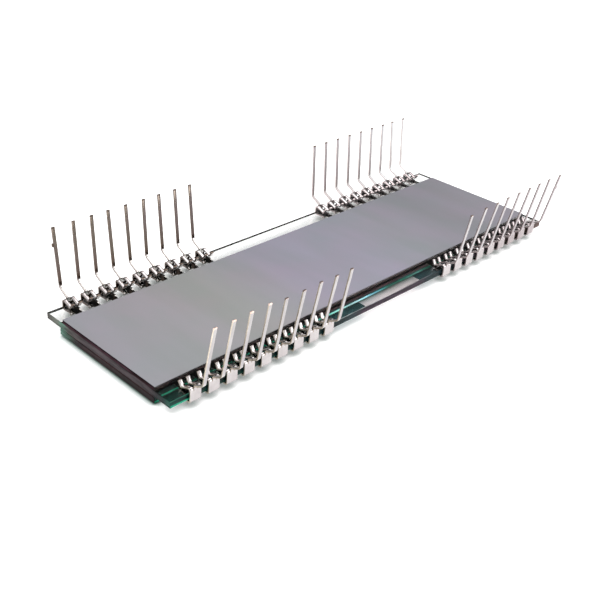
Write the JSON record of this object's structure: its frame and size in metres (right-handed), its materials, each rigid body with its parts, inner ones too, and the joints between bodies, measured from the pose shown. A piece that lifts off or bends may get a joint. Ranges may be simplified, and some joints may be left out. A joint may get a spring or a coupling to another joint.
{
  "type": "segment lcd",
  "caption": "Flat glass segment display cell lying face down, with a grey rear reflector and a row of upright tinned clip terminals along each long side.",
  "frame": {"origin": "centre of the flat viewing face, on the outside of the front polariser", "axes": "+X along the cell towards the end with the filling port, +Y across the cell, +Z from the viewing face to the rear and along the leads"},
  "size_m": [0.0701, 0.0288, 0.0113],
  "materials": {
    "polariser_film": "thin glossy neutral polarising film",
    "reflector_film": "matt grey diffuse reflector film",
    "clear_glass": "clear soda-lime sheet with a green tint in the cut edges",
    "clear_conductor": "transparent conductive coating",
    "crystal_fluid": "clear fluid layer",
    "seal_epoxy": "cured epoxy",
    "plug_resin": "cured clear resin",
    "conductive_paste": "black carbon-loaded paste",
    "tinned_bronze": "bright tin plate on stamped bronze strip"
  },
  "bodies": {
    "root": {"front_polariser": "polariser_film", "front_glass": "clear_glass", "common_electrode": "clear_conductor", "perimeter_seal": "seal_epoxy", "port_plug": "plug_resin", "liquid_crystal": "crystal_fluid", "crossover_dots": "conductive_paste", "segment_electrodes": "clear_conductor", "contact_paste": "conductive_paste", "rear_glass": "clear_glass", "rear_polariser": "polariser_film", "rear_reflector": "reflector_film", "terminal_01": "tinned_bronze", "terminal_02": "tinned_bronze", "terminal_03": "tinned_bronze", "terminal_04": "tinned_bronze", "terminal_05": "tinned_bronze", "terminal_06": "tinned_bronze", "terminal_07": "tinned_bronze", "terminal_08": "tinned_bronze", "terminal_09": "tinned_bronze", "terminal_10": "tinned_bronze", "terminal_11": "tinned_bronze", "terminal_12": "tinned_bronze", "terminal_13": "tinned_bronze", "terminal_14": "tinned_bronze", "terminal_15": "tinned_bronze", "terminal_16": "tinned_bronze", "terminal_17": "tinned_bronze", "terminal_18": "tinned_bronze", "terminal_19": "tinned_bronze", "terminal_20": "tinned_bronze", "terminal_21": "tinned_bronze", "terminal_22": "tinned_bronze", "terminal_23": "tinned_bronze", "terminal_24": "tinned_bronze", "terminal_25": "tinned_bronze", "terminal_26": "tinned_bronze", "terminal_27": "tinned_bronze", "terminal_28": "tinned_bronze", "terminal_29": "tinned_bronze", "terminal_30": "tinned_bronze", "terminal_31": "tinned_bronze", "terminal_32": "tinned_bronze", "terminal_33": "tinned_bronze", "terminal_34": "tinned_bronze", "terminal_35": "tinned_bronze", "terminal_36": "tinned_bronze"}
  },
  "joints": []
}
